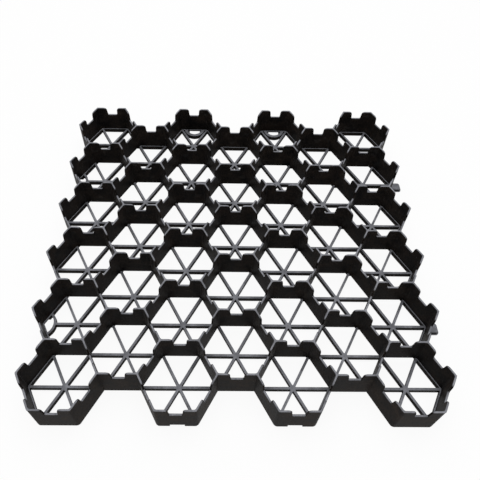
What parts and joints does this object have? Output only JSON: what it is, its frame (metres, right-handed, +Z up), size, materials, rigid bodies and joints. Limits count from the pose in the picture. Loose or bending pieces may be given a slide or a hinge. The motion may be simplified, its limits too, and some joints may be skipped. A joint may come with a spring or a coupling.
{
  "type": "grass paver grid",
  "caption": "Moulded honeycomb ground grid with notched cell walls over spoked floors, tongues on one side and loops on two others to link grids.",
  "frame": {"origin": "under the middle of the grid, in the plane of the underside", "axes": "+Z up, +X across the columns towards the side with the tongues, +Y along the columns towards the walls with loops"},
  "size_m": [0.5472, 0.503, 0.057],
  "materials": {
    "grid_plastic": "moulded black polyethylene, low sheen"
  },
  "bodies": {
    "root": {"paver_grid": "grid_plastic"}
  },
  "joints": []
}
